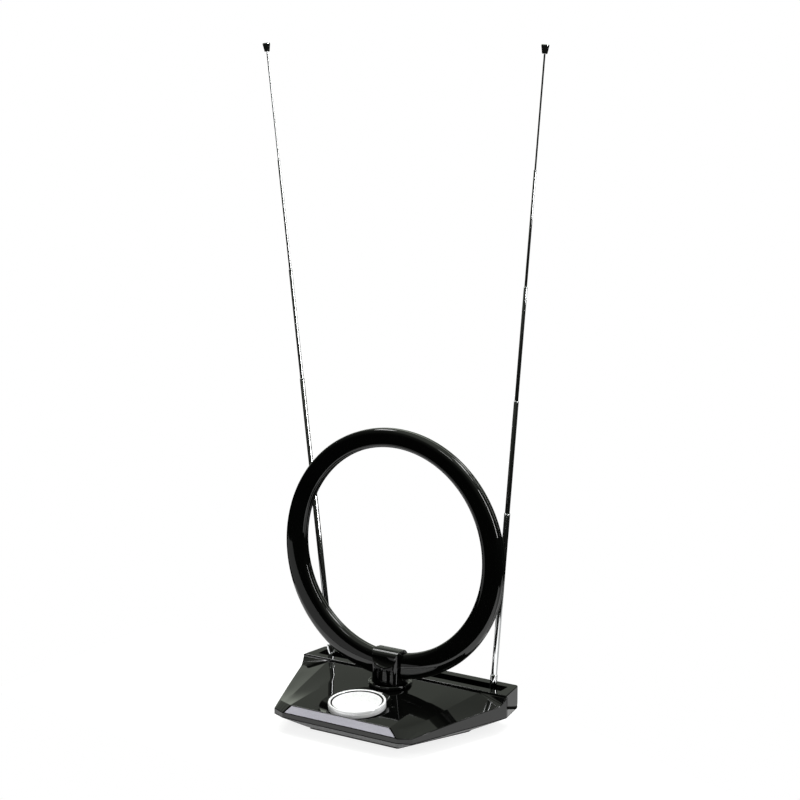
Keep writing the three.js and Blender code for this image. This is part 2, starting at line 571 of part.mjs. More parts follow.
function tubeGeometry(i) {
  const ro = TUBE_R[i];
  const ri = ro - TUBE_T;
  const next = i < 3 ? TUBE_R[i + 1] : TIP_R;
  const lip = next + 0.08;
  const z0 = TUBE_FOOT[i];
  const z1 = TUBE_TOP[i];
  const pts = [[ri, z0]];
  if (i > 0) {
    const collar = TUBE_R[i - 1] - TUBE_T - 0.07;
    pts.push([collar, z0], [collar, z0 + 3.0], [ro, z0 + 3.4]);
  } else {
    pts.push([ro, z0]);
  }
  pts.push([ro, z1 - 0.7], [ro - 0.14, z1], [lip, z1], [lip, z1 - 0.8], [ri, z1 - 1.3], [ri, z0]);
  return turned(pts, ROD_SEGS);
}

for (const [side, sx] of [['left', -1], ['right', 1]]) {
  const y = ROD_LANE[side];
  const x = sx * ROD_X;
  const bracket = combine(block(x - 4, x + 4, y - 3.5, y + 3.5, TRAY_Z + GAP, TRAY_Z + 1.1), [
    ['add', [
      block(x - 4, x + 4, y - 3.5, y - 2.9, TRAY_Z + GAP, ROD_Z + 3.2),
      block(x - 4, x + 4, y + 2.9, y + 3.5, TRAY_Z + GAP, ROD_Z + 3.2)]],
    ['subtract', [crossBar(1.5, y - 6, y + 6, 16, x, ROD_Z), bar(1.4, 14, 20, 12, x, y)]],
  ]);
  piece(`rod_bracket_${side}`, bracket, STEEL, 0.35, 1);
  piece(`bracket_screw_${side}`, at(turned([
    [0, 19.5], [1.8, 19.5], [1.8, 18.4], [1.05, 18.2], [1.05, 13.9], [0, 13.6]], 12), x, y, 0),
  STEEL, 0.35, 1);
  const head = y + sx * 3.75;
  const pin = combine(crossBar(1.15, y - 3.8, y + 3.8, 12, x, ROD_Z), [
    ['add', [crossBar(1.9, head - 0.15, head + 0.15, 12, x, ROD_Z)]]]);
  piece(`pivot_pin_${side}`, pin, STEEL, 0.3, 1);
  piece(`rod_lead_${side}`, lead([
    [x - sx * 2.2, y - 1, 14.2], [x - sx * 8, y - 3, 12.9], [sx * 50, 30, 11.6], [sx * 42, 24, 10.6],
    [sx * 35.5, 20, 9.6]], ngon(0.7, 6), 14), MATT, 0.6, 0);

  const rod = new THREE.Group();
  rod.position.set(x, y, ROD_Z);
  rod.rotation.y = THREE.MathUtils.degToRad(ROD_LEAN[side]);
  antenna.add(rod);
  const knuckle = combine(crossBar(3.6, -2.6, 2.6, 24), [
    ['add', [turned([[0, 2], [2.6, 2], [2.75, 4], [2.75, 14.2], [2.4, 15.0], [1.6, 15.0], [1.6, 22],
      [1.2, 22.6], [0, 22.6]], ROD_SEGS)]],
    ['intersect', [block(-4, 4, -2.75, 2.75, -4, 24)]],
    ['subtract', [crossBar(1.48, -4, 4, 16)]],
  ]);
  piece(`rod_knuckle_${side}`, knuckle, CHROME, 0.15, 1, rod);
  for (let i = 0; i < 4; i += 1) {
    piece(`rod_tube_${side}_${i + 1}`, tubeGeometry(i), CHROME, 0.08, 1, rod);
  }
  const collar = TUBE_R[3] - TUBE_T - 0.04;
  piece(`rod_tip_${side}`, turned([
    [0, TIP_SPAN[0]], [collar, TIP_SPAN[0]], [collar, TIP_SPAN[0] + 3], [TIP_R, TIP_SPAN[0] + 3.3],
    [TIP_R, TIP_SPAN[1]], [0, TIP_SPAN[1]]], ROD_SEGS), CHROME, 0.08, 1, rod);
  piece(`rod_cap_${side}`, turned([
    [0, TIP_SPAN[1] + GAP], [TIP_R + 0.25, TIP_SPAN[1] + GAP], [TIP_R + 0.25, CAP_SPAN[0]],
    [1.9, CAP_SPAN[0]], [2.1, CAP_SPAN[0] + 0.5], [3.0, CAP_SPAN[1] - 0.9], [2.85, CAP_SPAN[1] - 0.2],
    [2.2, CAP_SPAN[1]], [0, CAP_SPAN[1]]], 16), CHROME, 0.1, 1, rod);
}

export default antenna;
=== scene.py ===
# Rabbit ears antenna: looks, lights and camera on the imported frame.
import math

import bmesh
import bpy
from mathutils import Matrix, Vector


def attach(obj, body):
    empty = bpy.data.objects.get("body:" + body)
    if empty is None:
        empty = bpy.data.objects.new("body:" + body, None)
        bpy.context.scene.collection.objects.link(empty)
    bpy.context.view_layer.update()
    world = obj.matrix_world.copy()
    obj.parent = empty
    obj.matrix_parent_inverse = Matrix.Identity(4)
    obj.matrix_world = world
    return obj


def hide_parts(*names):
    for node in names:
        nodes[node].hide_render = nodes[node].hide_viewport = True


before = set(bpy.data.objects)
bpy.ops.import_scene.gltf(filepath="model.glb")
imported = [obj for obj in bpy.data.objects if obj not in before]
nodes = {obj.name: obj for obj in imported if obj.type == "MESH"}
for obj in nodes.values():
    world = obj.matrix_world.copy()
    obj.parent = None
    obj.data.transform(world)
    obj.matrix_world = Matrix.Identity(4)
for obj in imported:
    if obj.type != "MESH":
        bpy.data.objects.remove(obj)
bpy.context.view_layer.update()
MM = 0.001

# ---------------------------------------------------------------- dimensions, millimetres
PART_Z = 13.0
TROUGH_Y0, TROUGH_Y1 = 31.2, 56.6
TROUGH_X0, TROUGH_X1 = 92.2, 88.2
RIM_Z = 30.3
SLOT_X, SLOT_Y0, SLOT_Y1, TRAY_Z = 84.7, 36.5, 50.9, 17.0
CREASE_BACK = (42.0, 31.2, 28.9)
CREASE_FRONT = (43.9, -55.1, 23.4)
STRIP_LOW = (50.4, -56.6, 16.4)
CORNER = (61.0, -52.3, 17.0)
RIM_TABLE = [(-52.3, 17.0), (-38.8, 18.45), (-13.8, 20.7), (7.5, 22.2), (22.6, 23.1), (27.6, 25.1), (31.2, 28.6)]
KNEE = (68.4, 31.2, 28.75)
KNOB_Y, KNOB_R = -31.5, 21.7
DISH_R, DISH_FLOOR_R, DISH_DEPTH = 28.5, 22.9, 2.6
POINTER = math.radians(212)
LOOP_Y, LOOP_Z, LOOP_RO, LOOP_RI, LOOP_OFFSET = 14.0, 129.3, 96.0, 79.0, 2.6
LOOP_TILT, TILT_Z = 2.2, 33.5
LOOP_DEPTH, LOOP_POWER = 10.7, 3.4
TABLE_R = 16.8
POCKET_Z = 27.0
LOWER_Z0, LOWER_Z1 = 1.5, 12.7
TROUGH_CORNER, SLOT_CORNER, FOOT_CORNER = 1.4, 2.6, 4.0
EDGE_ROUND = 0.45
ROD_X, ROD_Z = 71.2, 24.0
ROD_LANE = {"left": 40.6, "right": 46.8}
ROD_LEAN = {"left": -6.7, "right": 4.42}
TUBE_R = (2.25, 1.8, 1.38, 0.99)
TUBE_T, TIP_R = 0.26, 0.64
TUBE_TOP = (142.3, 228.0, 313.0, 397.5)
TUBE_FOOT = (15.3, 137.3, 223.0, 308.0)
TIP_SPAN = (392.5, 480.4)
CAP_SPAN = (479.2, 485.8)

DECK_SLOPE = (CREASE_BACK[2] - CREASE_FRONT[2]) / (CREASE_BACK[1] - CREASE_FRONT[1])


def at(x, y, z):
    """Place of a point given in millimetres."""
    return Matrix.Translation(Vector((x, y, z)) * MM)


def deck_z(y):
    return CREASE_BACK[2] - (CREASE_BACK[1] - y) * DECK_SLOPE


def crease_x(y):
    t = (CREASE_BACK[1] - y) / (CREASE_BACK[1] - CREASE_FRONT[1])
    return CREASE_BACK[0] + (CREASE_FRONT[0] - CREASE_BACK[0]) * t


def side_x(y):
    return CORNER[0] + (y - CORNER[1]) * (TROUGH_X0 - CORNER[0]) / (TROUGH_Y0 - CORNER[1])


def rim_z(y):
    for (ya, za), (yb, zb) in zip(RIM_TABLE, RIM_TABLE[1:]):
        if y <= yb:
            return za + (zb - za) * (y - ya) / (yb - ya)
    return RIM_TABLE[-1][1]


DECK = at(0, KNOB_Y, deck_z(KNOB_Y)) @ Matrix.Rotation(math.atan(DECK_SLOPE), 4, "X")


# ---------------------------------------------------------------- materials
def material(name, base, rough, metal=0.0, vary=0.25, grain=900.0, bump=0.02, stretch=(1, 1, 1), **extra):
    """A finish with colour and roughness variation at two scales and a fine surface bump."""
    m = bpy.data.materials.new(name)
    m.use_nodes = True
    nt = m.node_tree
    bsdf = nt.nodes["Principled BSDF"]
    bsdf.inputs["Metallic"].default_value = metal
    for socket, value in extra.items():
        bsdf.inputs[socket.replace("_", " ")].default_value = value
    coord = nt.nodes.new("ShaderNodeTexCoord")
    scale = nt.nodes.new("ShaderNodeMapping")
    scale.inputs["Scale"].default_value = stretch
    nt.links.new(coord.outputs["Object"], scale.inputs["Vector"])

    def noise(size, detail):
        n = nt.nodes.new("ShaderNodeTexNoise")
        n.inputs["Scale"].default_value = size
        n.inputs["Detail"].default_value = detail
        nt.links.new(scale.outputs["Vector"], n.inputs["Vector"])
        return n.outputs["Fac"]

    broad = noise(35.0, 3.0)
    fine = noise(grain, 4.0)
    ramp = nt.nodes.new("ShaderNodeValToRGB")
    ramp.color_ramp.elements[0].position = 0.3
    ramp.color_ramp.elements[1].position = 0.7
    ramp.color_ramp.elements[0].color = (*[c * (1 - vary) for c in base], 1)
    ramp.color_ramp.elements[1].color = (*[min(1, c * (1 + vary)) for c in base], 1)
    nt.links.new(broad, ramp.inputs["Fac"])
    nt.links.new(ramp.outputs["Color"], bsdf.inputs["Base Color"])
    spread = nt.nodes.new("ShaderNodeMapRange")
    spread.inputs["From Min"].default_value = 0.3
    spread.inputs["From Max"].default_value = 0.7
    spread.inputs["To Min"].default_value = rough * 0.7
    spread.inputs["To Max"].default_value = rough * 1.35
    nt.links.new(fine, spread.inputs["Value"])
    nt.links.new(spread.outputs["Result"], bsdf.inputs["Roughness"])
    relief = nt.nodes.new("ShaderNodeBump")
    relief.inputs["Strength"].default_value = bump
    relief.inputs["Distance"].default_value = 0.0002
    nt.links.new(fine, relief.inputs["Height"])
    nt.links.new(relief.outputs["Normal"], bsdf.inputs["Normal"])
    return m


gloss = material("gloss_black", (0.0012, 0.0013, 0.0012), 0.035, grain=260.0, bump=0.006, IOR=1.5)
# Painted shade: the deck's gloss black with its reflection turned down, so the underside stays dark like the shadow
# under the base.
gloss_underside_shade = material("gloss_black_underside", (0.003, 0.0032, 0.003), 0.4, grain=700.0, bump=0.05, IOR=1.5,
                     Specular_IOR_Level=0.1)
matt = material("matt_black", (0.016, 0.016, 0.017), 0.55, grain=1800.0, bump=0.15)
rubber = material("pad_rubber", (0.012, 0.012, 0.012), 0.8, grain=1400.0, bump=0.3)
chrome = material("rod_chrome", (0.78, 0.79, 0.8), 0.06, 1.0, vary=0.04, grain=900.0, bump=0.004, stretch=(1, 1, 0.15))
steel = material("zinc_steel", (0.5, 0.5, 0.52), 0.28, 1.0, vary=0.12, grain=1500.0, bump=0.03)
black_steel = material("blackened_steel", (0.02, 0.02, 0.021), 0.35, 0.6, grain=1500.0, bump=0.05)
nickel = material("socket_nickel", (0.62, 0.6, 0.56), 0.2, 1.0, vary=0.06, grain=1200.0, bump=0.02)
brass = material("brass", (0.62, 0.42, 0.14), 0.25, 1.0, vary=0.1, grain=1200.0, bump=0.02)
copper = material("copper_strip", (0.6, 0.25, 0.12), 0.3, 1.0, vary=0.15, grain=700.0, bump=0.02)
board = material("board_green", (0.02, 0.12, 0.05), 0.4, vary=0.2, grain=500.0, bump=0.05)
lilac = material("trim_lilac", (0.52, 0.51, 0.575), 0.3, 0.0, vary=0.035, grain=1500.0, bump=0.03)


def paint_groove_shade(mat, place, inner, outer):
    """Paints shade into a thin ring of the finish, between two radii about the axis of place: the shadow in a groove.
    """
    nt = mat.node_tree
    coord = nt.nodes.new("ShaderNodeTexCoord")
    offset = nt.nodes.new("ShaderNodeVectorMath")
    offset.operation = "SUBTRACT"
    offset.inputs[1].default_value = place.translation
    nt.links.new(coord.outputs["Object"], offset.inputs[0])
    cross = nt.nodes.new("ShaderNodeVectorMath")
    cross.operation = "CROSS_PRODUCT"
    cross.inputs[1].default_value = place.to_3x3() @ Vector((0, 0, 1))
    nt.links.new(offset.outputs[0], cross.inputs[0])
    radius = nt.nodes.new("ShaderNodeVectorMath")
    radius.operation = "LENGTH"
    nt.links.new(cross.outputs[0], radius.inputs[0])
    near = nt.nodes.new("ShaderNodeMath")
    near.operation = "COMPARE"
    nt.links.new(radius.outputs["Value"], near.inputs[0])
    near.inputs[1].default_value = (inner + outer) / 2 * MM
    near.inputs[2].default_value = (outer - inner) / 2 * MM
    mix = nt.nodes.new("ShaderNodeMix")
    mix.data_type = "RGBA"
    bsdf = nt.nodes["Principled BSDF"]
    nt.links.new(near.outputs[0], mix.inputs[0])
    nt.links.new(bsdf.inputs["Base Color"].links[0].from_socket, mix.inputs[6])
    # Painted shade: this dark grey in the ring stands for the shadow in the groove.
    mix.inputs[7].default_value = (0.02, 0.02, 0.02, 1)
    nt.links.new(mix.outputs[2], bsdf.inputs["Base Color"])


silver_rim = material("knob_rim", (0.95, 0.95, 0.96), 0.15, 0.2, vary=0.03, grain=900.0, bump=0.01)
silver_face = material("knob_face", (0.93, 0.93, 0.94), 0.3, 0.3, vary=0.02, grain=2400.0, bump=0.02)
# Painted shade in the groove between the knob's face and its rim, on both silver finishes.
RIM_GROOVE_SHADE, FACE_GROOVE_SHADE = (18.5, 19.85), (18.62, 19.2)
paint_groove_shade(silver_rim, DECK, *RIM_GROOVE_SHADE)
paint_groove_shade(silver_face, DECK, *FACE_GROOVE_SHADE)
ink = material("deck_print", (0.004, 0.004, 0.004), 0.6, grain=2000.0, bump=0.1)


# ---------------------------------------------------------------- mesh helpers
def finish_mesh(name, mesh, mat, sharp=32.0):
    mesh.materials.clear()
    mesh.materials.append(mat)
    mesh.shade_smooth()
    mesh.set_sharp_from_angle(angle=math.radians(sharp))
    obj = bpy.data.objects.new(name, mesh)
    bpy.context.scene.collection.objects.link(obj)
    return obj


def from_bmesh(bm, name="part"):
    bmesh.ops.remove_doubles(bm, verts=bm.verts, dist=1e-7)
    bmesh.ops.recalc_face_normals(bm, faces=bm.faces)
    mesh = bpy.data.meshes.new(name)
    bm.to_mesh(mesh)
    bm.free()
    return mesh


def moved(mesh, matrix):
    mesh.transform(matrix)
    return mesh


def lathe(profile, segs=96, matrix=None):
    """Turned solid about Z. The profile starts and ends on the axis, or closes on itself."""
    bm = bmesh.new()
    on_axis = 1e-6
    turns = [2 * math.pi * i / segs for i in range(segs)]
    rings = []
    for r, z in profile:
        if r < on_axis:
            rings.append([bm.verts.new((0, 0, z * MM))] * segs)
        else:
            rings.append([bm.verts.new((r * MM * math.cos(a), r * MM * math.sin(a), z * MM)) for a in turns])
    closed = profile[0][0] > on_axis
    pairs = list(zip(rings, rings[1:])) + ([(rings[-1], rings[0])] if closed else [])
    for a, b in pairs:
        for i in range(segs):
            j = (i + 1) % segs
            quad = []
            for v in (a[i], a[j], b[j], b[i]):
                if v not in quad:
                    quad.append(v)
            if len(quad) > 2:
                bm.faces.new(quad)
    mesh = from_bmesh(bm)
    return moved(mesh, matrix) if matrix else mesh


def prism(outline, z0, z1, bevel=0.0, segments=3, bevel_bottom=False):
    """Upright solid from an outline in XY. A bevel rounds the edges above the foot, and the foot's if asked."""
    bm = bmesh.new()
    low = [bm.verts.new((x * MM, y * MM, z0 * MM)) for x, y in outline]
    top = [bm.verts.new((x * MM, y * MM, z1 * MM)) for x, y in outline]
    bm.faces.new(list(reversed(low)))
    bm.faces.new(top)
    for i in range(len(low)):
        j = (i + 1) % len(low)
        bm.faces.new((low[i], low[j], top[j], top[i]))
    if bevel:
        limit = (z0 + 0.001) * MM
        edges = [e for e in bm.edges if all(v.co.z > limit for v in e.verts)
                 or bevel_bottom and all(v.co.z <= limit for v in e.verts)]
        bmesh.ops.bevel(bm, geom=edges, offset=bevel * MM, segments=segments, profile=0.5, affect="EDGES")
    return from_bmesh(bm)


def cuboid(x0, x1, y0, y1, z0, z1, bevel=0.0, segments=3):
    mesh = prism([(x0, y0), (x1, y0), (x1, y1), (x0, y1)], z0, z1)
    return rounded(mesh, bevel, segments) if bevel else mesh


def rounded(mesh, width, segments=3, angle=20.0):
    """Rounds every edge sharper than the angle."""
    bm = bmesh.new()
    bm.from_mesh(mesh)
    edges = [e for e in bm.edges if len(e.link_faces) == 2 and e.calc_face_angle(0) > math.radians(angle)]
    bmesh.ops.bevel(bm, geom=edges, offset=width * MM, segments=segments, profile=0.5, affect="EDGES",
                    clamp_overlap=True)
    return from_bmesh(bm)


def round_outline(points, radius, steps=6):
    """Replaces each corner of a closed outline with an arc. The radius may be one for each corner.

    Known fault, kept: slerp gives a unit vector, so every arc has a radius of 1 mm about a centre placed for the
    radius asked for, and the sides beside it move in by that radius less 1 mm.
    """
    out = []
    n = len(points)
    radii = list(radius) if hasattr(radius, "__len__") else [radius] * n
    for i in range(n):
        p0, p, p1 = (Vector((*points[k % n], 0)) for k in (i - 1, i, i + 1))
        a, b = (p0 - p).normalized(), (p1 - p).normalized()
        half = a.angle(b) / 2
        if radii[i] < 0.01:
            out.append((p.x, p.y))
            continue
        d = min(radii[i] / math.tan(half), (p0 - p).length * 0.49, (p1 - p).length * 0.49)
        r = d * math.tan(half)
        centre = p + (a + b).normalized() * (r / math.sin(half))
        s, e = p + a * d - centre, p + b * d - centre
        for k in range(steps + 1):
            v = s.slerp(e, k / steps) + centre
            out.append((v.x, v.y))
    return out


def carve(mesh, steps):
    """Joins or cuts a solid with others, exactly."""
    obj = bpy.data.objects.new("work", mesh)
    bpy.context.scene.collection.objects.link(obj)
    tools = []
    for operation, tool_mesh in steps:
        tool = bpy.data.objects.new("tool", tool_mesh)
        bpy.context.scene.collection.objects.link(tool)
        tools.append(tool)
        mod = obj.modifiers.new("cut", "BOOLEAN")
        mod.operation = operation
        mod.solver = "EXACT"
        mod.object = tool
    dg = bpy.context.evaluated_depsgraph_get()
    out = bpy.data.meshes.new_from_object(obj.evaluated_get(dg))
    for o in [obj, *tools]:
        bpy.data.objects.remove(o)
    return out


def weighted(obj):
    mod = obj.modifiers.new("facet_shading", "WEIGHTED_NORMAL")
    mod.keep_sharp = True
    mod.weight = 80
    return obj


def mirror_x(points):
    return list(points) + [(-x, y) for x, y in reversed(points)]


def lerp(a, b, t):
    return tuple(p + (q - p) * t for p, q in zip(a, b))


# ---------------------------------------------------------------- base cover
def deck_solid():
    """Faceted deck: flat middle, twisted outer facets, bevelled corners, steep ends at the trough."""
    bm = bmesh.new()
    made = {}

    def vert(p):
        k = tuple(round(c, 3) for c in p)
        if k not in made:
            made[k] = bm.verts.new(Vector(p) * MM)
        return made[k]

    def face(points, sx):
        vs = []
        for x, y, z in points:
            v = vert((sx * x, y, z))
            if v not in vs:
                vs.append(v)
        if len(vs) > 2:
            bm.faces.new(vs if sx > 0 else list(reversed(vs)))

    rows, cols, knee_at = 14, 8, 4
    front_steps, far_steps, far_curve = 4, 12, 1.9
    rim_y0, rim_y1 = -38.8, 22.6
    into_trough = 2.0

    def spaced(y0, y1):
        return [y0 + (y1 - y0) * i / rows for i in range(rows + 1)]

    crease = [(crease_x(y), y, deck_z(y)) for y in spaced(CREASE_FRONT[1], CREASE_BACK[1])]
    rim = [(side_x(y), y, rim_z(y)) for y in spaced(rim_y0, rim_y1)]

    def top_edge(j):
        if j <= knee_at:
            return lerp(crease[-1], KNEE, j / knee_at)
        return lerp(KNEE, rim[-1], (j - knee_at) / (cols - knee_at))

    def patch(i, j):
        t, s = i / rows, j / cols
        out = []
        for k in range(3):
            left, right = crease[i][k], rim[i][k]
            low = crease[0][k] + (rim[0][k] - crease[0][k]) * s
            high = top_edge(j)[k]
            corner = ((1 - s) * (1 - t) * crease[0][k] + s * (1 - t) * rim[0][k]
                      + (1 - s) * t * crease[-1][k] + s * t * rim[-1][k])
            out.append((1 - s) * left + s * right + (1 - t) * low + t * high - corner)
        return tuple(out)

    far = []
    for k in range(1, far_steps + 1):
        y = rim_y1 + (TROUGH_Y0 - rim_y1) * k / far_steps
        far.append((side_x(y), y, rim[-1][2] + (RIM_TABLE[-1][1] - rim[-1][2]) * (k / far_steps) ** far_curve))
    foot = [(STRIP_LOW[0], STRIP_LOW[1], PART_Z), (CORNER[0], CORNER[1], PART_Z), (TROUGH_X0, TROUGH_Y0, PART_Z)]
    front = [lerp(STRIP_LOW, CORNER, i / front_steps) for i in range(front_steps + 1)]
    wide = cols // front_steps
    for sx in (1, -1):
        for i in range(rows):
            for j in range(cols):
                face([patch(i, j), patch(i, j + 1), patch(i + 1, j + 1), patch(i + 1, j)], sx)
        for i in range(front_steps):
            face([front[i], front[i + 1], patch(0, wide * (i + 1)), patch(0, wide * i)], sx)
        for a, b in zip([rim[-1]] + far, far):
            face([KNEE, a, b], sx)
        face([foot[0], foot[1]] + front[::-1], sx)
        face([foot[1], foot[2]] + list(reversed(far)) + list(reversed(rim)) + [CORNER], sx)
        back = [patch(rows, j) for j in range(knee_at + 1)] + [far[-1], foot[2]]
        deep = [(x, y + into_trough, z) for x, y, z in back]
        for a, b, c, d in zip(back, back[1:], deep[1:], deep):
            face([a, b, c, d], sx)

    def across(points):
        bm.faces.new([vert(p) for p in list(points) + [(-x, y, z) for x, y, z in reversed(points)]])

    across(crease)
    across([crease[-1], deep[0]])
    across(deep)
    across([STRIP_LOW, CREASE_FRONT])
    across([foot[0], STRIP_LOW])
    across(foot + [deep[-1]])
    mesh = from_bmesh(bm)
    return rounded(mesh, EDGE_ROUND, 3, 5.5)


trough_outline = round_outline(mirror_x([(TROUGH_X0, TROUGH_Y0), (TROUGH_X1, TROUGH_Y1)]),
                               (0, TROUGH_CORNER, TROUGH_CORNER, 0), 8)
trough_block = prism(trough_outline, PART_Z, RIM_Z, 0.8, 4)
slot_outline = round_outline(
    [(-SLOT_X, SLOT_Y0), (SLOT_X, SLOT_Y0), (SLOT_X, SLOT_Y1), (-SLOT_X, SLOT_Y1)], SLOT_CORNER, 6)
slot_tool = prism(slot_outline, TRAY_Z, RIM_Z + 4)
dish_tool = carve(
    lathe([(0, -DISH_DEPTH), (DISH_FLOOR_R - 0.8, -DISH_DEPTH), (DISH_FLOOR_R + 0.2, -DISH_DEPTH + 0.25),
           (DISH_R - 0.4, -0.12), (DISH_R + 0.1, 0.05), (DISH_R + 0.2, 4), (0, 4)], 128, DECK),
    [("INTERSECT", cuboid(-60, 60, CREASE_FRONT[1] + 0.7, 40, 0, 60))])
table_pocket = lathe([(0, POCKET_Z), (TABLE_R + 0.3, POCKET_Z), (TABLE_R + 0.3, 33), (0, 33)], 96,
                     Matrix.Translation((0, LOOP_Y * MM, 0)))
knob_hole = lathe([(0, -12), (5.4, -12), (5.4, 1), (0, 1)], 48, DECK)

TRIM_TILT = math.atan2(CREASE_FRONT[1] - STRIP_LOW[1], CREASE_FRONT[2] - STRIP_LOW[2])
TRIM_H = math.hypot(CREASE_FRONT[1] - STRIP_LOW[1], CREASE_FRONT[2] - STRIP_LOW[2])


def trim_plate(inset, depth, proud, bevel=0.0):
    """The front bevel's plate, drawn in from the edges by the inset and further at the ends."""
    run = (STRIP_LOW[0] - CREASE_FRONT[0]) / TRIM_H
    ends = inset * 1.6
    outline = mirror_x([(STRIP_LOW[0] - ends - run * inset, inset), (CREASE_FRONT[0] - ends, TRIM_H - inset)])
    mesh = prism(outline, -depth, proud, bevel, 3)
    place = (Matrix.Translation((0, STRIP_LOW[1] * MM, STRIP_LOW[2] * MM))
             @ Matrix.Rotation(-TRIM_TILT, 4, "X") @ Matrix.Rotation(math.pi / 2, 4, "X"))
    return moved(mesh, place)


cover = carve(deck_solid(), [
    ("UNION", trough_block), ("DIFFERENCE", slot_tool), ("DIFFERENCE", dish_tool), ("DIFFERENCE", table_pocket),
    ("DIFFERENCE", knob_hole), ("DIFFERENCE", trim_plate(0.35, 1.3, 2.0))])
cover = weighted(finish_mesh("base_cover", cover, gloss, 24))
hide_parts("base_top_shell")
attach(cover, "base")

strip = weighted(finish_mesh("front_strip", trim_plate(0.6, 1.2, 0.0, 0.35), lilac, 30))
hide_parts("front_trim_strip")
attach(strip, "base")

# Printed marks either side of the knob.
for side, sx in (("left", -1), ("right", 1)):
    mark = cuboid(-2.3, 2.3, -0.4, 0.4, 0.0, 0.06)
    place = DECK @ at(sx * 24.5, -16.5, 0.0) @ Matrix.Rotation(sx * 0.25, 4, "Z")
    mark = finish_mesh("deck_mark_" + side, moved(mark, place), ink)
    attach(mark, "base")

# ---------------------------------------------------------------- base underside
BELT = [(STRIP_LOW[0], STRIP_LOW[1]), (CORNER[0], CORNER[1]), (TROUGH_X0, TROUGH_Y0), (TROUGH_X1, TROUGH_Y1)]
FOOT = [(42.6, -41.4), (70.2, 20.8), (68.0, 55.0)]


def lower_shell():
    bm = bmesh.new()
    belt = round_outline(mirror_x(BELT), (0.8, 0.8, 0, TROUGH_CORNER, TROUGH_CORNER, 0, 0.8, 0.8), 5)
    foot = round_outline(mirror_x(FOOT), FOOT_CORNER, 5)
    for outline, z in ((belt, LOWER_Z1), (foot, LOWER_Z0)):
        for x, y in outline:
            bm.verts.new((x * MM, y * MM, z * MM))
    bmesh.ops.convex_hull(bm, input=bm.verts)
    bmesh.ops.dissolve_limit(bm, angle_limit=math.radians(0.6), verts=bm.verts, edges=bm.edges)
    return rounded(from_bmesh(bm), 0.35, 2, 14)


SOCKET_Z, COAX_X, POWER_X = 7.8, 25.0, -24.0
along_y = Matrix.Rotation(-math.pi / 2, 4, "X")


def socket_matrix(x):
    return at(x, 0, SOCKET_Z) @ along_y


lower = carve(lower_shell(), [
    ("DIFFERENCE", lathe([(0, 50), (4.7, 50), (4.7, 60), (0, 60)], 48, socket_matrix(COAX_X))),
    ("DIFFERENCE", cuboid(POWER_X - 5.2, POWER_X + 5.2, 50, 60, SOCKET_Z - 3.9, SOCKET_Z + 3.9))])
lower = weighted(finish_mesh("base_under_cover", lower, gloss_underside_shade, 24))
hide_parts("base_bottom_shell")
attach(lower, "base")

pad_outline = round_outline(mirror_x([(41.0, -40.0), (68.6, 20.6), (66.6, 53.6)]), FOOT_CORNER, 5)
pad = weighted(finish_mesh("rubber_pad", prism(pad_outline, 0.0, 1.2, 0.25, 2, True), rubber))
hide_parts("anti_slip_pad")
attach(pad, "base")

# F-type socket with its thread, and the power inlet.
thread = [(3.2, 49.5), (4.0, 49.5), (4.0, 52.6)]
for i in range(14):
    y = 53.2 + i * 0.55
    thread += [(4.05, y), (4.35, y + 0.27)]
thread += [(4.0, 61.2), (3.7, 61.5), (3.3, 61.5), (3.2, 61.3)]
coax = finish_mesh("coax_thread", lathe(thread, 64, socket_matrix(COAX_X)), nickel, 50)
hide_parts("coax_socket")
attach(coax, "base")
jack = carve(cuboid(POWER_X - 4.9, POWER_X + 4.9, 47.5, 55.6, SOCKET_Z - 3.6, SOCKET_Z + 3.6, 0.4, 3), [
    ("DIFFERENCE", lathe([(0, 49.5), (2.8, 49.5), (2.8, 55.0), (3.4, 58), (0, 58)], 48, socket_matrix(POWER_X)))])
jack = weighted(finish_mesh("power_inlet", jack, matt))
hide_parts("power_socket")
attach(jack, "base")

# ---------------------------------------------------------------- gain knob
knob = lathe([
    (0, 1.15), (19.4, 1.15), (19.55, 1.3), (19.65, 2.3), (19.8, 2.9), (20.2, 3.4), (20.7, 3.55), (21.2, 3.4),
    (21.55, 3.0), (KNOB_R, 2.5), (KNOB_R, 1.15), (21.55, 1.0), (21.55, 0.85), (KNOB_R, 0.7), (KNOB_R, -1.6),
    (21.5, -2.0), (21.1, -2.2), (20.0, -2.2), (19.8, -0.4), (4.9, -0.4), (4.9, -9.0), (3.1, -9.0), (3.1, -1.5),
    (0, -1.5)], 160, DECK)
knob = finish_mesh("knob_band", knob, silver_rim, 40)
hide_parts("knob_body")
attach(knob, "gain_knob")


def ellipsoid(radii, centre, turn=0.0, segs=48, rings=24):
    profile = [(math.sin(math.pi * i / rings), -math.cos(math.pi * i / rings)) for i in range(rings + 1)]
    profile[0], profile[-1] = (0, -1), (0, 1)
    place = at(*centre) @ Matrix.Rotation(turn, 4, "Z") @ Matrix.Diagonal((*radii, 1))
    return lathe(profile, segs, place)


DIMPLE_AT = 12.4
dimple = ellipsoid((6.4, 3.9, 1.7), (DIMPLE_AT * math.cos(POINTER), DIMPLE_AT * math.sin(POINTER), 3.6), POINTER)
face = carve(lathe([(0, 1.5), (18.8, 1.5), (18.9, 1.6), (18.9, 2.2), (18.6, 2.5), (0, 2.5)], 160, DECK),
             [("DIFFERENCE", moved(dimple, DECK))])
face = weighted(finish_mesh("knob_disc", face, silver_face, 30))
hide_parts("knob_face")
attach(face, "gain_knob")

# ---------------------------------------------------------------- loop
LEAN = at(0, LOOP_Y, TILT_Z) @ Matrix.Rotation(-math.radians(LOOP_TILT), 4, "X") @ at(0, -LOOP_Y, -TILT_Z)


def inner_edge(s):
    return LOOP_OFFSET * s + math.sqrt(LOOP_RI ** 2 - LOOP_OFFSET ** 2 * (1 - s * s))


def squeezed(c):
    """Rounds off a cosine or sine into the loop's boxy section."""
    return math.copysign(abs(c) ** (2 / LOOP_POWER), c)


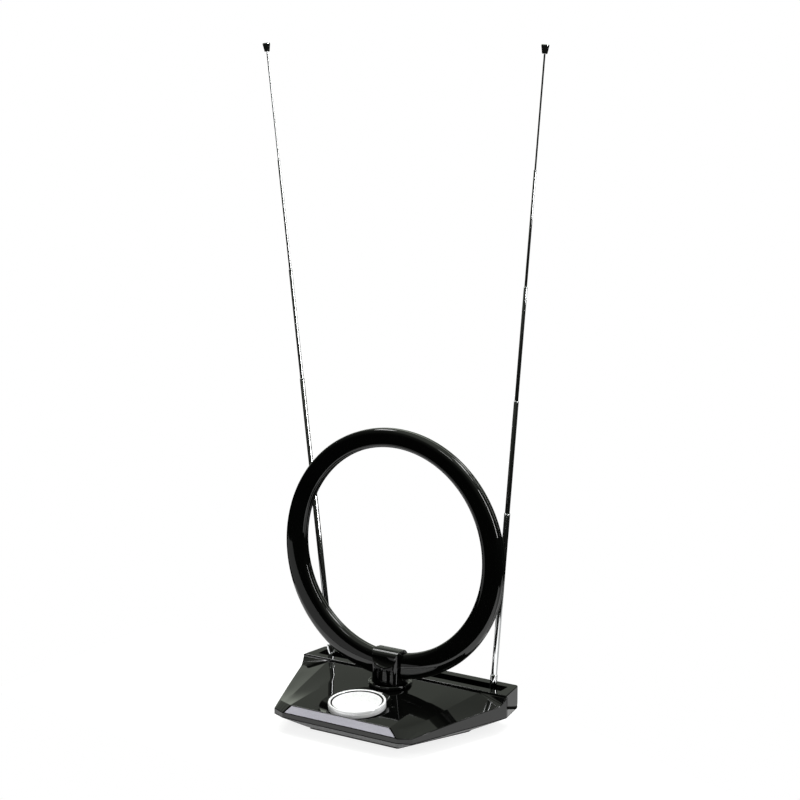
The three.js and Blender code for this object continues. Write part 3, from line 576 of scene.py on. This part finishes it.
def sweep_loop(section, segs, grow=0.0):
    """Carries a section round the loop, squeezed so that its opening sits off centre."""
    bm = bmesh.new()
    rings = []
    for i in range(segs):
        a = 2 * math.pi * i / segs
        inner = inner_edge(math.sin(a))
        mid, half = (LOOP_RO + inner) / 2, (LOOP_RO - inner) / 2 + grow
        ring = []
        for across, y in section:
            r = mid + half * across
            ring.append(bm.verts.new(Vector((r * math.cos(a), LOOP_Y + y, LOOP_Z + r * math.sin(a))) * MM))
        rings.append(ring)
    n = len(section)
    for i in range(segs):
        a, b = rings[i], rings[(i + 1) % segs]
        for k in range(n):
            bm.faces.new((a[k], a[(k + 1) % n], b[(k + 1) % n], b[k]))
    return from_bmesh(bm)


def loop_half(sign, segs=256, around=26):
    """Half of the loop's shell, with a softened edge where the two halves meet."""
    section = []
    for i in range(1, around):
        a = math.pi * i / around
        section.append((squeezed(math.cos(a)), max(squeezed(math.sin(a)) * LOOP_DEPTH / 2, 0.35)))
    seam_edge = [(0.965, 0.08), (0.99, 0.14), (0.9995, 0.25)]
    section = seam_edge + section + [(-across, along) for across, along in reversed(seam_edge)]
    return sweep_loop([(across, sign * along) for across, along in section], segs)


def loop_envelope(grow=0.25, segs=192, around=40):
    """The whole loop with a little clearance, to cut its seat in the holder."""
    turns = [2 * math.pi * k / around for k in range(around)]
    section = [(squeezed(math.cos(b)), (LOOP_DEPTH / 2 + grow) * squeezed(math.sin(b))) for b in turns]
    return sweep_loop(section, segs, grow)


for part, sign in (("front", -1), ("rear", 1)):
    half = finish_mesh("loop_%s_cover" % part, moved(loop_half(sign), LEAN), gloss, 60)
    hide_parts("loop_%s_shell" % part)
    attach(half, "loop")

# ---------------------------------------------------------------- loop holder and turntable
SADDLE_X, SADDLE_Z0, SADDLE_Z1 = 11.3, 29.8, 56.0
SADDLE_SCREW_X, SADDLE_SCREW_Z = 8, 31.4
FRONT_Y, FRONT_TOP_R, SIDE_R = 10.3, 6.4, 4
REAR_FOOT, REAR_Y, REAR_TOP_R = 7.9, 7.15, 6.0
SCOOP_Z0, SCOOP_Z1 = 42, 51.6
PARTING = 0.15


def rear_half():
    """Rear half of the holder: wider at the foot, rounded over the top."""
    turns = [math.pi / 2 * i / 12 for i in range(1, 13)]
    pts = [(-PARTING, SADDLE_Z0), (-REAR_FOOT, SADDLE_Z0), (-REAR_Y - 0.1, 33.0), (-REAR_Y, 36.0),
           (-REAR_Y, SADDLE_Z1 - REAR_TOP_R)]
    pts += [(-REAR_Y + REAR_TOP_R * (1 - math.cos(a)), SADDLE_Z1 - REAR_TOP_R + (REAR_TOP_R - 0.05) * math.sin(a))
            for a in turns]
    pts += [(-PARTING, SADDLE_Z1 - 0.05)]
    upright = Matrix(((0, 0, 1, 0), (-1, 0, 0, 0), (0, 1, 0, 0), (0, 0, 0, 1)))
    return rounded(moved(prism(pts, -SADDLE_X, SADDLE_X), at(0, LOOP_Y, 0) @ upright), 0.7, 4, 40)


def front_half():
    """Front half of the holder: rounded over the top and round its two upright edges."""
    bm = bmesh.new()
    turns = [math.pi / 2 * i / 16 for i in range(17)]
    levels = [(SADDLE_Z0, 10.0), (SADDLE_Z0 + 0.25, 10.45), (SADDLE_Z0 + 0.7, 10.6), (33.0, 10.4), (36.0, FRONT_Y)]
    levels += [(SADDLE_Z1 - FRONT_TOP_R + (FRONT_TOP_R - 0.05) * math.sin(a),
                FRONT_Y - FRONT_TOP_R * (1 - math.cos(a))) for a in turns]
    flat = 6.6
    for z, reach in levels:
        ys = [-PARTING, -flat] + [-flat - SIDE_R * math.sin(math.pi / 2 * k / 12) for k in range(1, 13)]
        ys = [y for y in ys if y > -reach] + [-reach]
        for y in ys:
            x = SADDLE_X - SIDE_R + math.sqrt(max(0, SIDE_R ** 2 - min(0, y + flat) ** 2))
            if z < SADDLE_Z0 + 0.1:
                x -= 0.4
            bm.verts.new(Vector((x, LOOP_Y + y, z)) * MM)
            bm.verts.new(Vector((-x, LOOP_Y + y, z)) * MM)
    bmesh.ops.convex_hull(bm, input=bm.verts)
    bmesh.ops.dissolve_limit(bm, angle_limit=math.radians(0.5), verts=bm.verts, edges=bm.edges)
    return rounded(from_bmesh(bm), EDGE_ROUND, 3, 50)


envelope = loop_envelope()
barrel = lathe([(0, 30.6), (5.2, 30.6), (5.7, 31.1), (5.7, 42.4), (0, 42.4)], 96, at(0, LOOP_Y - 4.9, 0))
barrel = carve(barrel, [("INTERSECT", cuboid(-7, 7, LOOP_Y - 12, LOOP_Y - 7.0, 20, 50))])
scoop = carve(ellipsoid((11.6, 3.6, 9.3), (0, LOOP_Y - FRONT_Y, SCOOP_Z1)),
              [("INTERSECT", cuboid(-20, 20, LOOP_Y - 20, LOOP_Y, SCOOP_Z0, SCOOP_Z1))])
panel = rounded(cuboid(-6.6, 6.6, LOOP_Y - 14, LOOP_Y - 7.3, 31.0, 41.6), 0.4, 3, 40)
saddle_front = carve(front_half(), [
    ("DIFFERENCE", panel), ("UNION", barrel), ("DIFFERENCE", scoop), ("DIFFERENCE", envelope)])
saddle_front = weighted(finish_mesh("loop_holder_front", moved(saddle_front, LEAN), gloss, 34))
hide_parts("loop_saddle_front")
screw_seat = [(0, 6.2), (1.75, 6.2), (1.75, 12), (0, 12)]
saddle_rear = carve(rear_half(), [("DIFFERENCE", envelope)] + [
    ("DIFFERENCE", lathe(screw_seat, 32, at(x, LOOP_Y, SADDLE_SCREW_Z) @ along_y))
    for x in (SADDLE_SCREW_X, -SADDLE_SCREW_X)])
saddle_rear = weighted(finish_mesh("loop_holder_rear", moved(saddle_rear, LEAN), gloss, 34))
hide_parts("loop_saddle_rear")
table = lathe([
    (3.1, 29.2), (14.0, 29.2), (14.35, 29.3), (14.7, 29.75), (15.1, 30.25), (15.6, 30.55), (16.1, 30.6), (16.5, 30.35),
    (16.75, 29.9), (TABLE_R, 29.4), (16.75, 28.8), (16.5, 28.2), (16.1, 27.8), (15.5, 27.5), (14.2, 27.3),
    (5.0, 27.3), (5.0, 22.4), (4.3, 22.3), (4.3, 21.0), (5.0, 20.9), (4.7, 19.8), (3.1, 19.8)], 96, at(0, LOOP_Y, 0))
table = finish_mesh("loop_swivel_table", table, gloss, 40)
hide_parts("loop_turntable")
for obj in (saddle_front, saddle_rear, table):
    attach(obj, "loop")

# ---------------------------------------------------------------- telescopic rods
def tube_profile(i):
    """Wall of one tube, with a stop collar at its foot and a rolled lip at its top."""
    ro, ri = TUBE_R[i], TUBE_R[i] - TUBE_T
    lip = (TUBE_R[i + 1] if i < 3 else TIP_R) + 0.08
    z0, z1 = TUBE_FOOT[i], TUBE_TOP[i]
    pts = [(ri, z0)]
    if i:
        collar = TUBE_R[i - 1] - TUBE_T - 0.07
        pts += [(collar - 0.1, z0), (collar, z0 + 0.15), (collar, z0 + 3.0), (ro, z0 + 3.4)]
    else:
        pts += [(ro, z0)]
    pts += [(ro, z1 - 1.25), (ro - 0.07, z1 - 1.1), (ro - 0.07, z1 - 0.95), (ro, z1 - 0.8), (ro, z1 - 0.4),
            (ro - 0.06, z1 - 0.15), (ro - 0.18, z1 - 0.02), (lip + 0.05, z1), (lip, z1 - 0.08), (lip, z1 - 0.8),
            (ri, z1 - 1.35)]
    return pts


for side, sx in (("left", -1), ("right", 1)):
    pivot = at(sx * ROD_X, ROD_LANE[side], ROD_Z) @ Matrix.Rotation(math.radians(ROD_LEAN[side]), 4, "Y")
    root = lathe([(0, 1.5), (2.3, 1.5), (2.6, 2.4), (2.7, 3.6), (2.75, 4.2), (2.75, 13.8), (2.65, 14.1), (2.65, 14.4),
                  (2.5, 14.8), (2.25, 15.0), (1.6, 15.0), (1.6, 22), (1.2, 22.6), (0, 22.6)], 64, pivot)
    eye = lathe([(1.48, -2.55), (3.35, -2.55), (3.6, -2.3), (3.6, 2.3), (3.35, 2.55), (1.48, 2.55)], 64,
                pivot @ along_y)
    root = finish_mesh("rod_root_" + side, root, chrome, 40)
    eye = finish_mesh("rod_eye_" + side, eye, chrome, 40)
    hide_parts("rod_knuckle_" + side)
    riders = [(root, "rod_" + side), (eye, "rod_" + side)]
    for i in range(4):
        tube = finish_mesh("rod_section_%s_%d" % (side, i + 1), lathe(tube_profile(i), 48, pivot), chrome, 50)
        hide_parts("rod_tube_%s_%d" % (side, i + 1))
        riders.append((tube, "rod_" + side if i == 0 else "rod_%s_section_%d" % (side, i + 1)))
    collar = TUBE_R[3] - TUBE_T - 0.04
    foot, end = TIP_SPAN
    tip = finish_mesh("rod_point_" + side, lathe([
        (0, foot), (collar - 0.08, foot), (collar, foot + 0.1), (collar, foot + 3), (TIP_R, foot + 3.3),
        (TIP_R, end), (0, end)], 32, pivot), chrome, 50)
    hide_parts("rod_tip_" + side)
    under, top = CAP_SPAN
    cap = finish_mesh("rod_end_" + side, lathe([
        (TIP_R + 0.05, under), (1.75, under), (1.95, under + 0.2), (2.05, under + 0.7), (2.8, top - 1.4),
        (2.9, top - 0.9), (2.9, top - 0.5), (2.8, top - 0.15), (2.5, top - 0.03), (0, top - 0.03),
        (0, end + 0.3), (TIP_R + 0.05, end + 0.3)], 64, pivot), chrome, 40)
    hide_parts("rod_cap_" + side)
    riders += [(tip, "rod_%s_tip" % side), (cap, "rod_%s_tip" % side)]
    for obj, body in riders:
        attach(obj, body)

# ---------------------------------------------------------------- pieces kept from the frame
kept = {
    steel: ["cover_screw_1", "cover_screw_2", "cover_screw_3", "cover_screw_4", "ballast_plate", "shield_can",
            "potentiometer_body", "potentiometer_shaft", "saddle_screw_1", "saddle_screw_2", "turntable_clip"],
    black_steel: ["rod_bracket_left", "rod_bracket_right", "bracket_screw_left", "bracket_screw_right",
                  "pivot_pin_left", "pivot_pin_right"],
    board: ["amplifier_board", "gain_board"],
    brass: ["coax_centre_contact", "power_contact"],
    copper: ["loop_conductor"],
    matt: ["gain_ribbon", "loop_lead", "rod_lead_left", "rod_lead_right"],
}
for mat, names in kept.items():
    for name in names:
        nodes[name].data.materials.clear()
        nodes[name].data.materials.append(mat)

# ---------------------------------------------------------------- floor, light and camera
scene = bpy.context.scene
scene.view_settings.view_transform = "Standard"


def plain(name, grey, glow):
    """Flat finish with no shine and a little light of its own."""
    mat = bpy.data.materials.new(name)
    mat.use_nodes = True
    bsdf = mat.node_tree.nodes["Principled BSDF"]
    bsdf.inputs["Base Color"].default_value = (grey, grey, grey, 1)
    bsdf.inputs["Roughness"].default_value = 0.9
    bsdf.inputs["Specular IOR Level"].default_value = 0.0
    bsdf.inputs["Emission Color"].default_value = (1, 1, 1, 1)
    bsdf.inputs["Emission Strength"].default_value = glow
    return mat


def ground(name, outline, mat, z):
    bm = bmesh.new()
    bm.faces.new([bm.verts.new((x, y, z)) for x, y in outline])
    mesh = bpy.data.meshes.new(name)
    bm.to_mesh(mesh)
    bm.free()
    mesh.materials.append(mat)
    obj = bpy.data.objects.new(name, mesh)
    scene.collection.objects.link(obj)
    return obj


# Outlines in metres. The cards lie dim in front on the left and behind on the right, seen only in the gloss.
FLOOR = [(-0.3, -0.1), (-0.06, -0.14), (0.1, -0.13), (0.36, -0.17), (0.36, -0.02), (0.13, 0.075), (0.05, 0.1),
         (-0.12, 0.11), (-0.3, 0.1)]
CARDS = {
    "grey_card_left": [(-0.45, -0.47), (-0.06, -0.142), (-0.3, -0.102), (-0.4, -0.1), (-0.7, -0.2)],
    "grey_card_back": [(0.07, 0.1), (0.13, 0.08), (0.36, -0.01), (0.36, 0.35), (0.07, 0.35)],
}
CARD_Z = 0.0005
ground("floor", FLOOR, plain("floor", 0.3, 0.82), 0)
card_mat = plain("grey_card", 0.15, 0.3)
for name, outline in CARDS.items():
    ground(name, outline, card_mat, CARD_Z).visible_camera = False

world = bpy.data.worlds.new("studio")
scene.world = world
world.use_nodes = True
nt = world.node_tree
nt.nodes.clear()


def math_node(op, *values):
    n = nt.nodes.new("ShaderNodeMath")
    n.operation = op
    for k, v in enumerate(values):
        if isinstance(v, (int, float)):
            n.inputs[k].default_value = v
        else:
            nt.links.new(v, n.inputs[k])
    return n.outputs[0]


def ramp_node(value, a, b, low, high):
    """Eases from low at a to high at b."""
    n = nt.nodes.new("ShaderNodeMapRange")
    n.interpolation_type = "SMOOTHSTEP"
    nt.links.new(value, n.inputs["Value"])
    for k, v in (("From Min", a), ("From Max", b), ("To Min", low), ("To Max", high)):
        n.inputs[k].default_value = v
    return n.outputs["Result"]


direction = nt.nodes.new("ShaderNodeTexCoord").outputs["Generated"]
xyz = nt.nodes.new("ShaderNodeSeparateXYZ")
nt.links.new(direction, xyz.inputs[0])
BACK = (-0.53, 0.848)
toward_back = math_node("ADD", *(math_node("MULTIPLY", xyz.outputs[k], BACK[k]) for k in (0, 1)))
height = xyz.outputs[2]
level = math_node("SQRT", math_node("SUBTRACT", 1.0001, math_node("MULTIPLY", height, height)))
heading = math_node("DIVIDE", toward_back, level)
behind = math_node("MULTIPLY", ramp_node(height, 0.10, 0.33, 1.0, 0.3), ramp_node(height, -0.06, 0.03, 0.03, 1.0))
side = ramp_node(height, 0.0, 0.5, 0.008, 0.1)
ceiling = ramp_node(height, 0.5, 0.95, 0.0, 0.7)
share = ramp_node(heading, 0.6, 0.9, 0.0, 1.0)
rest = math_node("MULTIPLY", side, math_node("SUBTRACT", 1.0, share))
around = math_node("ADD", math_node("MULTIPLY", behind, share), rest)
mixed = math_node("MAXIMUM", around, ceiling)
is_camera = nt.nodes.new("ShaderNodeLightPath").outputs["Is Camera Ray"]
strength = math_node("ADD", math_node("MULTIPLY", mixed, math_node("SUBTRACT", 1.0, is_camera)), is_camera)
bg = nt.nodes.new("ShaderNodeBackground")
tint = nt.nodes.new("ShaderNodeMix")
tint.data_type = "RGBA"
nt.links.new(is_camera, tint.inputs[0])
tint.inputs[6].default_value = (0.93, 1.0, 0.87, 1)
tint.inputs[7].default_value = (1, 1, 1, 1)
nt.links.new(tint.outputs[2], bg.inputs["Color"])
nt.links.new(strength, bg.inputs["Strength"])
out = nt.nodes.new("ShaderNodeOutputWorld")
nt.links.new(bg.outputs[0], out.inputs[0])


def softbox(name, place, target, size, power, glossy=True):
    data = bpy.data.lights.new(name, "AREA")
    data.shape = "RECTANGLE"
    data.size, data.size_y = size
    data.energy = power
    obj = bpy.data.objects.new(name, data)
    scene.collection.objects.link(obj)
    obj.location = place
    obj.rotation_euler = (Vector(target) - Vector(place)).to_track_quat("-Z", "Y").to_euler()
    obj.visible_glossy = glossy


# Name, place, target, size in metres, watts, and whether it shows in the gloss.
softbox("top_light", (0.1, 0.2, 1.7), (0, 0, 0), (1.3, 1.0), 22, False)
softbox("back_light", (-0.95, 0.2, 1.5), (0, 0, 0), (0.5, 0.35), 6)
softbox("edge_light", (0.52, 0.85, 1.28), (0, 0, 0), (0.5, 0.3), 5)
softbox("over_light", (0.17, -0.72, 1.45), (0, 0, 0.05), (0.3, 0.16), 1.2)
softbox("right_light", (1.5, 0.15, 0.95), (0, 0, 0.15), (0.3, 1.1), 16)
softbox("front_light", (-0.2, -1.9, 1.3), (0, 0, 0.1), (0.9, 0.6), 14, False)

cam_data = bpy.data.cameras.new("camera")
cam_data.lens = 90.5
cam_data.sensor_width = 36
cam_data.clip_start = 0.01
cam = bpy.data.objects.new("camera", cam_data)
scene.collection.objects.link(cam)
LOOKING_DOWN, TURNED = 11.42, 32.25
cam.location = (0.7851, -1.2161, 0.543)
cam.rotation_euler = (math.radians(90 - LOOKING_DOWN), 0, math.radians(TURNED))
scene.camera = cam

bpy.context.view_layer.update()
